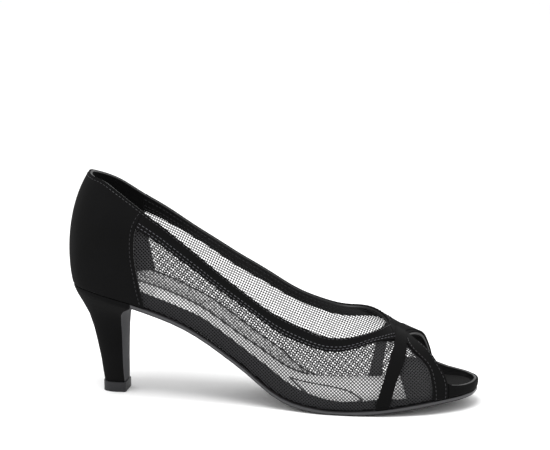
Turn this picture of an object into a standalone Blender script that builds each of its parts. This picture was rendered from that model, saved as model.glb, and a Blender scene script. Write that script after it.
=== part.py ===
"""Peep toe pump, right shoe: a netting upper with suede overlays on a slim covered heel.

Metres, +X to the toe, +Y to the inner (medial) side, +Z up, the floor at z = 0.
Every curved piece comes from one last surface, skin(station, level), and from one grid of
ribs drawn on it. A rib is a line from the sole's edge up to the upper's top edge.
"""
import math

import bpy
import numpy as np

# Sizes of the whole shoe. SWELL is how far the sides bulge out of a plain arch, and
# SWELL_SPREAD spreads that bulge over the side.
LENGTH = 0.242
BALL_HALF = 0.0355
HEEL_HEIGHT = 0.064
BACK_HEIGHT = 0.1315
SWELL = 0.003
SWELL_SPREAD = 0.7

# Thicknesses
SUEDE = 0.0010
NETTING = 0.0011
INSOLE_THICK = 0.0022
SOLE_THICK = 0.0026
TOP_PIECE_THICK = 0.0058

# Clearances between pieces that are separate solids
GAP = 0.0003
SEAM_INSET = 0.00018
INSOLE_ROOM = 0.0007

# Sole: how far it stands out of the last's edge, the height of its upright side, the step
# in below that, and the stations where sole and insole start
SOLE_REACH = 0.0002
SOLE_SIDE = 0.0016
SOLE_STEP = 0.0011
SOLE_START = 0.184
INSOLE_START = 0.012

# Heel tip: its back end's distance from the last's back, its length and half width; the
# rubber stands out of the heel's lower end by TOP_PIECE_GROW all round
TIP_BACK = 0.0202
TIP_LENGTH = 0.0132
TIP_HALF = 0.0069
TOP_PIECE_GROW = 0.0006

# The last by stations, from the back of the heel (0) to the tip (1)
# x and ridge_x are shares of LENGTH, y of BALL_HALF, foot_z of HEEL_HEIGHT,
# ridge_z of BACK_HEIGHT, swell of SWELL; round shapes the cross section
LAST_COLUMNS = (
    "station", "lateral_x", "lateral_y", "medial_x", "medial_y", "foot_z",
    "ridge_x", "ridge_y", "ridge_z", "lateral_swell", "medial_swell", "round")
LAST = (
    (0.000, 0.0124, 0.000, 0.0124, 0.000, 1.0188, 0.1942, 0.000, 1.141, 2.07, 2.07, 1.00),
    (0.020, 0.0165, 0.190, 0.0165, 0.190, 1.0156, 0.1955, 0.000, 1.139, 1.98, 1.98, 0.98),
    (0.050, 0.0351, 0.408, 0.0351, 0.408, 1.0094, 0.1983, 0.000, 1.133, 1.80, 1.80, 0.95),
    (0.110, 0.0909, 0.634, 0.0909, 0.620, 0.9734, 0.2107, 0.000, 1.110, 1.40, 1.40, 0.85),
    (0.200, 0.1901, 0.704, 0.1901, 0.648, 0.8828, 0.2479, 0.000, 1.034, 1.07, 1.07, 0.75),
    (0.320, 0.3140, 0.704, 0.3140, 0.577, 0.7000, 0.3306, 0.028, 0.875, 1.00, 1.17, 0.70),
    (0.430, 0.4298, 0.732, 0.4298, 0.521, 0.4094, 0.4339, 0.056, 0.722, 1.00, 1.50, 0.68),
    (0.530, 0.5372, 0.845, 0.5372, 0.676, 0.1187, 0.5331, 0.070, 0.586, 1.00, 1.33, 0.66),
    (0.620, 0.6322, 0.986, 0.6322, 0.873, 0.0453, 0.6281, 0.085, 0.487, 1.00, 1.00, 0.66),
    (0.710, 0.7231, 1.000, 0.7231, 1.000, 0.0453, 0.7149, 0.099, 0.418, 0.93, 0.87, 0.68),
    (0.800, 0.8140, 0.915, 0.8140, 0.958, 0.0813, 0.7934, 0.099, 0.333, 0.87, 0.87, 0.72),
    (0.890, 0.9050, 0.676, 0.9091, 0.732, 0.1281, 0.8554, 0.099, 0.281, 0.80, 0.80, 0.74),
    (0.955, 0.9669, 0.324, 0.9711, 0.465, 0.1469, 0.8802, 0.099, 0.262, 0.73, 0.73, 0.74),
    (0.980, 0.9831, 0.130, 0.9842, 0.296, 0.1505, 0.8846, 0.099, 0.256, 0.73, 0.73, 0.74),
    (1.000, 0.9897, -0.099, 0.9897, 0.099, 0.1531, 0.8884, 0.099, 0.251, 0.73, 0.73, 0.74),
)

# Ribs of the upper. foot, low, mid, band and top are the stations the rib passes at five
# heights; band_v and top_v are its levels (0 ridge, 1 sole edge) at the band's lower edge
# and at its top. cells is the number of grid cells up to the next rib, of the named piece.
RIB_COLUMNS = ("foot", "low", "mid", "band", "top", "band_v", "top_v", "cells", "piece")
LATERAL_RIBS = (
    (0.000, 0.000, 0.000, 0.000, 0.000, 0.573, 0.430, 3, "counter"),
    (0.050, 0.050, 0.050, 0.050, 0.050, 0.580, 0.435, 3, "counter"),
    (0.110, 0.110, 0.110, 0.110, 0.110, 0.595, 0.440, 3, "counter"),
    (0.2155, 0.204, 0.195, 0.196, 0.212, 0.620, 0.503, 2, "band"),
    (0.260, 0.258, 0.256, 0.256, 0.260, 0.635, 0.516, 2, "band"),
    (0.320, 0.320, 0.320, 0.320, 0.320, 0.655, 0.535, 2, "band"),
    (0.400, 0.400, 0.400, 0.400, 0.400, 0.663, 0.556, 2, "band"),
    (0.480, 0.480, 0.480, 0.480, 0.480, 0.650, 0.552, 2, "band"),
    (0.560, 0.560, 0.560, 0.560, 0.560, 0.635, 0.523, 2, "band"),
    (0.640, 0.640, 0.640, 0.640, 0.640, 0.610, 0.500, 2, "band"),
    (0.685, 0.690, 0.695, 0.699, 0.700, 0.535, 0.420, 2, "band"),
    (0.716, 0.728, 0.741, 0.754, 0.748, 0.375, 0.250, 2, "band"),
    (0.748, 0.768, 0.7835, 0.7945, 0.7795, 0.250, 0.000, 2, "rear leg"),
    (0.781, 0.7955, 0.815, 0.8225, 0.806, 0.250, 0.000, 2, "window"),
    (0.8798, 0.8762, 0.866, 0.8285, 0.826, 0.250, 0.000, 2, "front leg"),
    (0.912, 0.910, 0.897, 0.8805, 0.842, 0.250, 0.000, 0, "toe"),
)
MEDIAL_RIBS = (
    (0.000, 0.000, 0.000, 0.000, 0.000, 0.573, 0.430, 3, "counter"),
    (0.050, 0.050, 0.050, 0.050, 0.050, 0.583, 0.450, 3, "counter"),
    (0.110, 0.110, 0.110, 0.110, 0.110, 0.602, 0.476, 3, "counter"),
    (0.212, 0.200, 0.187, 0.178, 0.176, 0.615, 0.512, 2, "band"),
    (0.260, 0.252, 0.246, 0.243, 0.242, 0.610, 0.519, 2, "band"),
    (0.320, 0.318, 0.316, 0.315, 0.315, 0.598, 0.510, 2, "band"),
    (0.400, 0.400, 0.400, 0.400, 0.400, 0.585, 0.477, 2, "band"),
    (0.480, 0.480, 0.480, 0.480, 0.480, 0.550, 0.440, 2, "band"),
    (0.555, 0.557, 0.559, 0.560, 0.560, 0.535, 0.430, 2, "band"),
    (0.618, 0.625, 0.633, 0.638, 0.640, 0.510, 0.385, 2, "band"),
    (0.650, 0.664, 0.678, 0.690, 0.690, 0.445, 0.300, 2, "band"),
    (0.676, 0.692, 0.712, 0.734, 0.738, 0.340, 0.160, 4, "band"),
    (0.701, 0.7175, 0.741, 0.765, 0.7795, 0.250, 0.000, 2, "rear leg"),
    (0.736, 0.7445, 0.7665, 0.7965, 0.806, 0.250, 0.000, 2, "window"),
    (0.822, 0.8195, 0.8185, 0.8030, 0.826, 0.250, 0.000, 2, "front leg"),
    (0.858, 0.8555, 0.8505, 0.849, 0.842, 0.250, 0.000, 0, "toe"),
)
# Heights of the grid lines on a rib: 0 at the sole, BAND_LINE at the band's lower edge
LINES = (0.0, 0.05, 0.13, 0.22, 0.34, 0.48, 0.62, 0.75, 0.84, 0.92, 0.97, 1.0)
RIB_HEIGHTS = (0.0, 0.25, 0.50, 0.75, 1.0)
BAND_LINE = 7
RIM_LINE = 3

# The low wall round the toe: stations of its foot and of its rim, level of the rim
TOE_COLUMNS = ("foot", "rim", "rim_v", "cells", "piece")
LATERAL_TOE = (
    (0.925, 0.9215, 0.820, 1, "toe"),
    (0.940, 0.940, 0.847, 1, "toe"),
    (0.957, 0.957, 0.858, 2, "toe"),
    (0.980, 0.980, 0.858, 2, "toe"),
    (1.000, 1.000, 0.856, 0, "toe"),
)
MEDIAL_TOE = (
    (0.873, 0.871, 0.805, 1, "toe"),
    (0.892, 0.892, 0.832, 2, "toe"),
    (0.925, 0.925, 0.855, 2, "toe"),
    (0.956, 0.956, 0.870, 2, "toe"),
    (0.980, 0.980, 0.864, 2, "toe"),
    (1.000, 1.000, 0.856, 0, "toe"),
)

# Heel rings from the tip to the seat. back_z and breast_z are shares of the height from the
# heel's lower face to the seat; back_x, breast_x and width are shares of the way from the
# tip's outline (0) to the seat's outline (1), which is the last's own edge
HEEL_COLUMNS = ("back_z", "breast_z", "back_x", "breast_x", "width")
HEEL = (
    (0.000, 0.000, 0.000, 0.000, 0.000),
    (0.100, 0.116, 0.052, -0.025, 0.077),
    (0.236, 0.274, 0.116, -0.037, 0.129),
    (0.407, 0.472, 0.233, -0.025, 0.182),
    (0.543, 0.619, 0.337, -0.012, 0.240),
    (0.695, 0.748, 0.501, 0.011, 0.357),
    (0.815, 0.836, 0.709, 0.124, 0.560),
    (0.900, 0.892, 0.872, 0.400, 0.775),
    (0.955, 0.930, 0.955, 0.800, 0.925),
    (0.985, 0.949, 0.995, 1.000, 0.995),
    (1.000, 1.000, 1.000, 1.000, 1.000),
)
# Outline of the tip: where its sides start to round to the back, how blunt the round is,
# and its width at the breast
TIP_ROUND = 0.66
TIP_POWER = 2.4
TIP_BREAST = 0.96

# Fineness of the curves, and the spacing of points that count as one
RING_STEPS = 12
SOLE_STEPS = 40
SOLE_CROWD = 1.5
SEAT_STEPS = 60
EDGE_STEP = 0.002
WELD = 1.0e-5
SHALLOW = 1.0e-6

# The most that a wall's outward direction may point down, so that its foot stays level
TUCK = 0.12

# Colours, linear, and roughness of each piece
SUEDE_BLACK = (0.011, 0.011, 0.011, 1.0)
NET_BLACK = (0.030, 0.030, 0.032, 1.0)
LINING_GREY = (0.480, 0.470, 0.450, 1.0)
SOLE_GREY = (0.050, 0.048, 0.046, 1.0)
RUBBER_GREY = (0.028, 0.028, 0.029, 1.0)


def column(table, names, name):
    """One named column of a table as an array."""
    return np.array([row[names.index(name)] for row in table])


def smooth(xs, ys, x):
    """Smooth curve through table rows; slopes average those of the two neighbours."""
    run = np.diff(xs)
    rise = np.diff(ys) / run
    slope = np.empty(len(xs))
    slope[1:-1] = (rise[:-1] * run[1:] + rise[1:] * run[:-1]) / (run[:-1] + run[1:])
    slope[0] = 1.5 * rise[0] - 0.5 * slope[1]
    slope[-1] = 1.5 * rise[-1] - 0.5 * slope[-2]
    x = np.clip(x, xs[0], xs[-1])
    i = np.clip(np.searchsorted(xs, x, side="right") - 1, 0, len(xs) - 2)
    t = (x - xs[i]) / run[i]
    start = (2 * t ** 3 - 3 * t ** 2 + 1) * ys[i] + (t ** 3 - 2 * t ** 2 + t) * run[i] * slope[i]
    end = (3 * t ** 2 - 2 * t ** 3) * ys[i + 1] + (t ** 3 - t ** 2) * run[i] * slope[i + 1]
    return start + end


def last_value(name, station):
    """A column of the last's table at any station."""
    stations = column(LAST, LAST_COLUMNS, "station")
    return smooth(stations, column(LAST, LAST_COLUMNS, name), station)


def foot(station, side):
    """Point of the last's edge, where upper and sole meet; side is -1 lateral, 1 medial."""
    name = "lateral" if side < 0 else "medial"
    x = last_value(name + "_x", station) * LENGTH
    y = last_value(name + "_y", station) * BALL_HALF * side
    z = last_value("foot_z", station) * HEEL_HEIGHT
    return np.array([x, y, z])


def skin(station, level, side):
    """Point of the last; level is 1 at the sole's edge and 0 on the ridge."""
    base = foot(station, side)
    ridge = np.array([
        last_value("ridge_x", station) * LENGTH,
        last_value("ridge_y", station) * BALL_HALF,
        last_value("ridge_z", station) * BACK_HEIGHT])
    angle = (1.0 - level) * math.pi / 2
    across = max(math.cos(angle), 0.0)
    name = "lateral_swell" if side < 0 else "medial_swell"
    bulge = max(math.sin(2 * angle), 0.0) ** SWELL_SPREAD
    swell = last_value(name, station) * SWELL * bulge
    reach = base - ridge
    reach[2] = 0.0
    point = ridge + reach * across ** last_value("round", station)
    point += reach / np.linalg.norm(reach) * swell
    point[2] = base[2] + (ridge[2] - base[2]) * math.sin(angle)
    return point


def rib_point(row, height):
    """Station and level of a rib at a height, 0 at the sole and 1 at the top edge."""
    get = RIB_COLUMNS.index
    line = [row[get(name)] for name in ("foot", "low", "mid", "band", "top")]
    station = smooth(np.array(RIB_HEIGHTS), np.array(line), height)
    levels = (1.0, row[get("band_v")], row[get("top_v")])
    level = np.interp(height, (0.0, LINES[BAND_LINE], 1.0), levels)
    return float(station), float(level)


def toe_point(row, height):
    """Station and level on the toe's low wall, 0 at the sole and 1 at its rim."""
    get = TOE_COLUMNS.index
    foot_s, rim_s, rim_v = row[get("foot")], row[get("rim")], row[get("rim_v")]
    return foot_s + (rim_s - foot_s) * height, 1.0 + (rim_v - 1.0) * height


def between(lines, names, rows):
    """Columns from each line of points to the next, with the piece that each starts."""
    cells = names.index("cells")
    piece = names.index("piece")
    columns = []
    for here, there, row in zip(lines[:-1], lines[1:], rows):
        for step in range(row[cells]):
            share = step / row[cells]
            columns.append((here * (1 - share) + there * share, row[piece]))
    columns.append((lines[-1], "end"))
    return columns


def side_columns(ribs, toe):
    """Grid columns of one side: lists of (station, level), with the piece they start."""
    lines = [np.array([rib_point(row, h) for h in LINES]) for row in ribs]
    columns = between(lines, RIB_COLUMNS, ribs)
    heights = np.linspace(0.0, 1.0, RIM_LINE + 1)
    low = [lines[-1][:RIM_LINE + 1]]
    low += [np.array([toe_point(row, h) for h in heights]) for row in toe]
    return columns + between(low, TOE_COLUMNS, (toe[0],) + toe)


def smooth_columns(columns):
    """Rounds the kinks between ribs of the collar, where the rib table is coarse."""
    pieces = [piece for grid, piece in columns]
    result = [grid.copy() for grid, piece in columns]
    for i in range(1, len(columns) - 1):
        if pieces[i - 1] == pieces[i] and pieces[i] in ("counter", "band"):
            near = columns[i - 1][0] + columns[i + 1][0]
            result[i] = columns[i][0] * 0.5 + near * 0.25
    return [(grid, piece) for grid, piece in zip(result, pieces)]


class Grid:
    """Points of the last used by the upper and its overlays, each stored once."""

    def __init__(self):
        self.points = []
        self.lookup = {}
        self.cells = []

    def add(self, station, level, side):
        point = skin(station, level, side)
        key = tuple(np.round(point / WELD).astype(int))
        if key not in self.lookup:
            self.lookup[key] = len(self.points)
            self.points.append(point)
        return self.lookup[key]

    def fill(self, columns, side):
        """Cells of one side; each is four point numbers with the name of its piece."""
        rows = [[self.add(s, v, side) for s, v in grid] for grid, piece in columns]
        for i, (grid, piece) in enumerate(columns[:-1]):
            if piece == "end":
                continue
            for k in range(min(len(rows[i]), len(rows[i + 1])) - 1):
                cell = [rows[i][k], rows[i + 1][k], rows[i + 1][k + 1], rows[i][k + 1]]
                cell = list(dict.fromkeys(cell))
                if side > 0:
                    cell.reverse()
                self.cells.append((cell, self.piece(piece, k, side)))

    @staticmethod
    def piece(name, line, side):
        """Name of the overlay that a cell belongs to; the netting has none."""
        upper_part = line >= BAND_LINE
        if name == "band":
            label = "lateral_band" if side < 0 else "medial_band"
            return label if upper_part else "netting"
        if name == "window":
            return "vamp_straps" if upper_part else "netting"
        if name in ("rear leg", "front leg"):
            return "vamp_straps"
        return {"counter": "counter", "toe": "toe_cap"}[name]

    def finish(self):
        """Outward directions of all points; near the sole they are kept level."""
        self.points = np.array(self.points)
        out = np.zeros_like(self.points)
        for cell, piece in self.cells:
            corners = self.points[cell]
            for i in range(1, len(cell) - 1):
                out_i = np.cross(corners[i] - corners[0], corners[i + 1] - corners[0])
                out[cell[0]] += out_i
                out[cell[i]] += out_i
                out[cell[i + 1]] += out_i
        out /= np.linalg.norm(out, axis=1)[:, None]
        out[:, 2] = np.maximum(out[:, 2], -TUCK)
        self.out = out / np.linalg.norm(out, axis=1)[:, None]


def add_object(name, points, faces, collection, colour, roughness):
    """Makes the named mesh object with its own material."""
    mesh = bpy.data.meshes.new(name)
    mesh.from_pydata([tuple(p) for p in points], [], faces)
    mesh.validate()
    mesh.update()
    material = bpy.data.materials.new(name)
    material.use_nodes = True
    shader = material.node_tree.nodes["Principled BSDF"]
    shader.inputs["Base Color"].default_value = colour
    shader.inputs["Roughness"].default_value = roughness
    mesh.materials.append(material)
    item = bpy.data.objects.new(name, mesh)
    collection.objects.link(item)
    return item


def sheet(grid, pieces, outer, inner, inset):
    """Closed solid between two depths under the last's surface, over the named cells."""
    cells = [cell for cell, piece in grid.cells if piece in pieces]
    used = sorted({i for cell in cells for i in cell})
    place = {old: new for new, old in enumerate(used)}
    edges = {}
    for cell in cells:
        for a, b in zip(cell, cell[1:] + cell[:1]):
            if (b, a) in edges:
                del edges[(b, a)]
            else:
                edges[(a, b)] = True
    push = {i: np.zeros(3) for i in used}
    for a, b in edges:
        along = grid.points[b] - grid.points[a]
        along /= np.linalg.norm(along)
        for i in (a, b):
            push[i] += np.cross(grid.out[i], along)
    points = grid.points[used].copy()
    for i, vector in push.items():
        size = np.linalg.norm(vector)
        if size > SHALLOW:
            points[place[i]] += vector / size * inset
    out = grid.out[used]
    count = len(used)
    verts = np.concatenate([points - out * outer, points - out * inner])
    faces = [[place[i] for i in cell] for cell in cells]
    faces += [[place[i] + count for i in reversed(cell)] for cell in cells]
    faces += [[place[b], place[a], place[a] + count, place[b] + count] for a, b in edges]
    return verts, faces


def edge_line(stations, side, reach):
    """The last's edge moved outward in plan by a distance."""
    points = np.array([foot(s, side) for s in stations])
    before = np.array([foot(max(s - EDGE_STEP, 0.0), side) for s in stations])
    after = np.array([foot(min(s + EDGE_STEP, 1.0), side) for s in stations])
    along = (after - before)[:, :2]
    along /= np.linalg.norm(along, axis=1)[:, None]
    outward = np.stack([-along[:, 1], along[:, 0]], axis=1) * side
    points[:, :2] += outward * reach
    return points


def sole_loop(start, reach, lift, floor=None):
    """Closed outline round the last's edge from a start station; lift is added to z."""
    share = np.linspace(0.0, 1.0, SOLE_STEPS)
    stations = start + (1.0 - start) * (1.0 - (1.0 - share) ** SOLE_CROWD)
    lateral = edge_line(stations[:-1], -1, reach)
    medial = edge_line(stations[:-1], 1, reach)
    tip = foot(1.0, 1)[None, :] + np.array([[reach, 0.0, 0.0]])
    loop = np.concatenate([lateral, tip, medial[::-1]])
    loop[:, 2] += lift
    if floor is not None:
        loop[:, 2] = np.maximum(loop[:, 2], floor)
    return loop


def seat_line(side):
    """The last's edge over the heel as x, y and z, from the back to the sole's start."""
    stations = np.linspace(0.0, SOLE_START, SEAT_STEPS)
    return np.array([foot(s, side) for s in stations]).T


def tip_outline():
    """Half outline of the tip: shares of its length and half width, breast to back."""
    outline = [(1.0, TIP_BREAST)]
    for i in range(RING_STEPS + 1):
        turn = math.pi / 2 * i / RING_STEPS
        x = TIP_ROUND * (1.0 - math.sin(turn) ** (2 / TIP_POWER))
        y = max(math.cos(turn), 0.0) ** (2 / TIP_POWER)
        outline.append((x, y))
    return outline


def heel_ring(row, seat_gap, bottom):
    """Heel section, counter-clockwise from above; seat_gap is kept to the last's edge."""
    get = HEEL_COLUMNS.index
    sides = []
    for side in (-1, 1):
        seat_x, seat_y, seat_z = seat_line(side)
        seat_back, seat_breast = seat_x[0], seat_x[-1] - GAP
        tip_breast = TIP_BACK + TIP_LENGTH
        back = TIP_BACK + (seat_back - TIP_BACK) * row[get("back_x")]
        breast = tip_breast + (seat_breast - tip_breast) * row[get("breast_x")]
        points = []
        for along, across in tip_outline():
            on_seat = seat_back + (seat_breast - seat_back) * along
            tip_y = side * TIP_HALF * across
            y = tip_y + (np.interp(on_seat, seat_x, seat_y) - tip_y) * row[get("width")]
            x = back + (breast - back) * along
            height = row[get("back_z")] + (row[get("breast_z")] - row[get("back_z")]) * along
            rise = np.interp(on_seat, seat_x, seat_z) - seat_gap - bottom
            points.append((x, y, bottom + rise * height))
        sides.append(points)
    lateral, medial = sides
    return np.array(lateral[:-1] + medial[::-1])[::-1]


def loft(loops):
    """Closed solid through loops from the bottom up, capped by strips across."""
    count = len(loops[0])
    verts = np.concatenate(loops)
    faces = []
    for k in range(len(loops) - 1):
        low = k * count
        for i in range(count):
            j = (i + 1) % count
            faces.append([low + i, low + j, low + count + j, low + count + i])
    top = (len(loops) - 1) * count
    for i in range((count - 1) // 2):
        strip = [i, i + 1, count - 2 - i, count - 1 - i]
        strip = list(dict.fromkeys(strip))
        faces.append([top + p for p in strip])
        faces.append([p for p in reversed(strip)])
    return verts, faces


def make_heel():
    return loft([heel_ring(row, GAP, TOP_PIECE_THICK + GAP) for row in HEEL])


def make_top_piece():
    """The tip's outline, grown a little all round, from the floor up."""
    back = TIP_BACK - TOP_PIECE_GROW
    length = TIP_LENGTH + 2 * TOP_PIECE_GROW
    half = TIP_HALF + TOP_PIECE_GROW
    outline = tip_outline()
    lateral = [(back + length * along, -half * across) for along, across in outline[:-1]]
    medial = [(back + length * along, half * across) for along, across in outline[::-1]]
    flat = (lateral + medial)[::-1]
    return loft([
        np.array([(x, y, height) for x, y in flat]) for height in (0.0, TOP_PIECE_THICK)])


def make_outsole():
    bottom = -GAP - SOLE_THICK
    side_foot = -GAP - SOLE_SIDE
    return loft([
        sole_loop(SOLE_START, SOLE_REACH - SOLE_STEP, bottom, floor=0.0),
        sole_loop(SOLE_START, SOLE_REACH, side_foot, floor=SOLE_THICK - SOLE_SIDE),
        sole_loop(SOLE_START, SOLE_REACH, -GAP)])


def make_insole():
    reach = -(SUEDE + GAP + NETTING + INSOLE_ROOM)
    return loft([
        sole_loop(INSOLE_START, reach, 0.0),
        sole_loop(INSOLE_START, reach, INSOLE_THICK)])


def clear_scene():
    for item in list(bpy.data.objects):
        bpy.data.objects.remove(item, do_unlink=True)


def settle(items):
    """Moves all pieces together so that the origin is under the middle of the shoe."""
    corners = np.concatenate([
        np.array([v.co for v in item.data.vertices]) for item in items])
    low, high = corners.min(axis=0), corners.max(axis=0)
    shift = np.array([-(low[0] + high[0]) / 2, -(low[1] + high[1]) / 2, -low[2]])
    for item in items:
        for vertex in item.data.vertices:
            vertex.co.x += shift[0]
            vertex.co.y += shift[1]
            vertex.co.z += shift[2]


def main():
    clear_scene()
    shoe = bpy.data.collections.new("peep_toe_pump")
    bpy.context.scene.collection.children.link(shoe)
    grid = Grid()
    grid.fill(smooth_columns(side_columns(LATERAL_RIBS, LATERAL_TOE)), -1)
    grid.fill(smooth_columns(side_columns(MEDIAL_RIBS, MEDIAL_TOE)), 1)
    grid.finish()
    everything = {piece for cell, piece in grid.cells}
    wall = (SUEDE + GAP, SUEDE + GAP + NETTING)
    items = [add_object("upper", *sheet(grid, everything, *wall, 0.0), shoe, NET_BLACK, 0.7)]
    for name in ("counter", "lateral_band", "medial_band", "vamp_straps", "toe_cap"):
        solid = sheet(grid, {name}, 0.0, SUEDE, SEAM_INSET)
        items.append(add_object(name, *solid, shoe, SUEDE_BLACK, 0.9))
    items.append(add_object("insole", *make_insole(), shoe, LINING_GREY, 0.7))
    items.append(add_object("outsole", *make_outsole(), shoe, SOLE_GREY, 0.6))
    items.append(add_object("heel", *make_heel(), shoe, SUEDE_BLACK, 0.9))
    items.append(add_object("top_piece", *make_top_piece(), shoe, RUBBER_GREY, 0.6))
    settle(items)


if __name__ == "__main__":
    main()
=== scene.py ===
"""Looks of the peep toe pump: netting, suede, lining, stitches, sock, sole and heel.

Laid out as an add-on. Each operator makes one piece or one group of like pieces round the
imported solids, and the panel lists them. The pieces follow the same last surface as the
solids: skin(station, level, side), station 0 at the back of the heel and 1 at the toe,
level 1 at the sole's edge and 0 on the ridge, side -1 lateral (outer) and 1 medial (inner).
"""

import math

import bmesh
import bpy
import numpy as np
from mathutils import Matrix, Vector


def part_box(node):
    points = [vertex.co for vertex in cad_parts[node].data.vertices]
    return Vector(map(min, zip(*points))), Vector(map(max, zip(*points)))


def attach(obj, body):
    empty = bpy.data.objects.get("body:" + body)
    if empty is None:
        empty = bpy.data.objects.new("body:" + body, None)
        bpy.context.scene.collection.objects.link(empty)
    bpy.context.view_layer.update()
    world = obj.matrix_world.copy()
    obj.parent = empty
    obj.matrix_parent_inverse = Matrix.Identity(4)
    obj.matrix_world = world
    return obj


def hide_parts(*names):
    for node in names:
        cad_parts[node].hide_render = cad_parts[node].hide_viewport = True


bl_info = {
    "name": "Peep Toe Pump",
    "version": (1, 0, 0),
    "blender": (4, 5, 0),
    "location": "3D View > Sidebar > Pump",
    "description": "Makes the visible pieces of a netting peep toe pump",
    "category": "Add Mesh",
}

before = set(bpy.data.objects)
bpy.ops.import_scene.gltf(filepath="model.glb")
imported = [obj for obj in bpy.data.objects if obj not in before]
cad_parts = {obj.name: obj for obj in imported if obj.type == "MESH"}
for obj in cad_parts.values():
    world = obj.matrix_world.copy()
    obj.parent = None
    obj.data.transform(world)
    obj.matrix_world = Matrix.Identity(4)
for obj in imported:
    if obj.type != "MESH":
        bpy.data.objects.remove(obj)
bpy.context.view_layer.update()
MM = 0.001
SIDES = {-1: "lateral", 1: "medial"}

# Sizes of the last and of the walls, the same as the solids have
LENGTH = 0.242
BALL_HALF = 0.0355
HEEL_HEIGHT = 0.064
BACK_HEIGHT = 0.1315
SWELL = 0.003
SWELL_SPREAD = 0.7
SUEDE = 0.0010
NETTING = 0.0011
INSOLE_THICK = 0.0022
GAP = 0.0003
SEAM_INSET = 0.00018
INSOLE_ROOM = 0.0007
SOLE_REACH = 0.0002
SOLE_START = 0.184
INSOLE_START = 0.012
TUCK = 0.12
WELD = 1.0e-5
MESH_DEPTH = SUEDE + GAP
WALL_DEPTH = MESH_DEPTH + NETTING

# The last by stations: shares of LENGTH for x, BALL_HALF for y, HEEL_HEIGHT for foot_z,
# BACK_HEIGHT for ridge_z and SWELL for the swells
LAST_COLUMNS = (
    "station", "lateral_x", "lateral_y", "medial_x", "medial_y", "foot_z",
    "ridge_x", "ridge_y", "ridge_z", "lateral_swell", "medial_swell", "round")
LAST = (
    (0.000, 0.0124, 0.000, 0.0124, 0.000, 1.0188, 0.1942, 0.000, 1.141, 2.07, 2.07, 1.00),
    (0.020, 0.0165, 0.190, 0.0165, 0.190, 1.0156, 0.1955, 0.000, 1.139, 1.98, 1.98, 0.98),
    (0.050, 0.0351, 0.408, 0.0351, 0.408, 1.0094, 0.1983, 0.000, 1.133, 1.80, 1.80, 0.95),
    (0.110, 0.0909, 0.634, 0.0909, 0.620, 0.9734, 0.2107, 0.000, 1.110, 1.40, 1.40, 0.85),
    (0.200, 0.1901, 0.704, 0.1901, 0.648, 0.8828, 0.2479, 0.000, 1.034, 1.07, 1.07, 0.75),
    (0.320, 0.3140, 0.704, 0.3140, 0.577, 0.7000, 0.3306, 0.028, 0.875, 1.00, 1.17, 0.70),
    (0.430, 0.4298, 0.732, 0.4298, 0.521, 0.4094, 0.4339, 0.056, 0.722, 1.00, 1.50, 0.68),
    (0.530, 0.5372, 0.845, 0.5372, 0.676, 0.1187, 0.5331, 0.070, 0.586, 1.00, 1.33, 0.66),
    (0.620, 0.6322, 0.986, 0.6322, 0.873, 0.0453, 0.6281, 0.085, 0.487, 1.00, 1.00, 0.66),
    (0.710, 0.7231, 1.000, 0.7231, 1.000, 0.0453, 0.7149, 0.099, 0.418, 0.93, 0.87, 0.68),
    (0.800, 0.8140, 0.915, 0.8140, 0.958, 0.0813, 0.7934, 0.099, 0.333, 0.87, 0.87, 0.72),
    (0.890, 0.9050, 0.676, 0.9091, 0.732, 0.1281, 0.8554, 0.099, 0.281, 0.80, 0.80, 0.74),
    (0.955, 0.9669, 0.324, 0.9711, 0.465, 0.1469, 0.8802, 0.099, 0.262, 0.73, 0.73, 0.74),
    (0.980, 0.9831, 0.130, 0.9842, 0.296, 0.1505, 0.8846, 0.099, 0.256, 0.73, 0.73, 0.74),
    (1.000, 0.9897, -0.099, 0.9897, 0.099, 0.1531, 0.8884, 0.099, 0.251, 0.73, 0.73, 0.74),
)

# Ribs of the upper: stations at five heights, levels at the band's lower edge and at the
# top, and the number of the solids' cells up to the next rib; then what the cells belong to
RIB_COLUMNS = ("foot", "low", "mid", "band", "top", "band_v", "top_v", "cells")
LATERAL_RIBS = (
    (0.000, 0.000, 0.000, 0.000, 0.000, 0.573, 0.430, 3),
    (0.050, 0.050, 0.050, 0.050, 0.050, 0.580, 0.435, 3),
    (0.110, 0.110, 0.110, 0.110, 0.110, 0.595, 0.440, 3),
    (0.2155, 0.204, 0.195, 0.196, 0.212, 0.620, 0.503, 2),
    (0.260, 0.258, 0.256, 0.256, 0.260, 0.635, 0.516, 2),
    (0.320, 0.320, 0.320, 0.320, 0.320, 0.655, 0.535, 2),
    (0.400, 0.400, 0.400, 0.400, 0.400, 0.663, 0.556, 2),
    (0.480, 0.480, 0.480, 0.480, 0.480, 0.650, 0.552, 2),
    (0.560, 0.560, 0.560, 0.560, 0.560, 0.635, 0.523, 2),
    (0.640, 0.640, 0.640, 0.640, 0.640, 0.610, 0.500, 2),
    (0.685, 0.690, 0.695, 0.699, 0.700, 0.535, 0.420, 2),
    (0.716, 0.728, 0.741, 0.754, 0.748, 0.375, 0.250, 2),
    (0.748, 0.768, 0.7835, 0.7945, 0.7795, 0.250, 0.000, 2),
    (0.781, 0.7955, 0.815, 0.8225, 0.806, 0.250, 0.000, 2),
    (0.8798, 0.8762, 0.866, 0.8285, 0.826, 0.250, 0.000, 2),
    (0.912, 0.910, 0.897, 0.8805, 0.842, 0.250, 0.000, 0),
)
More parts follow.
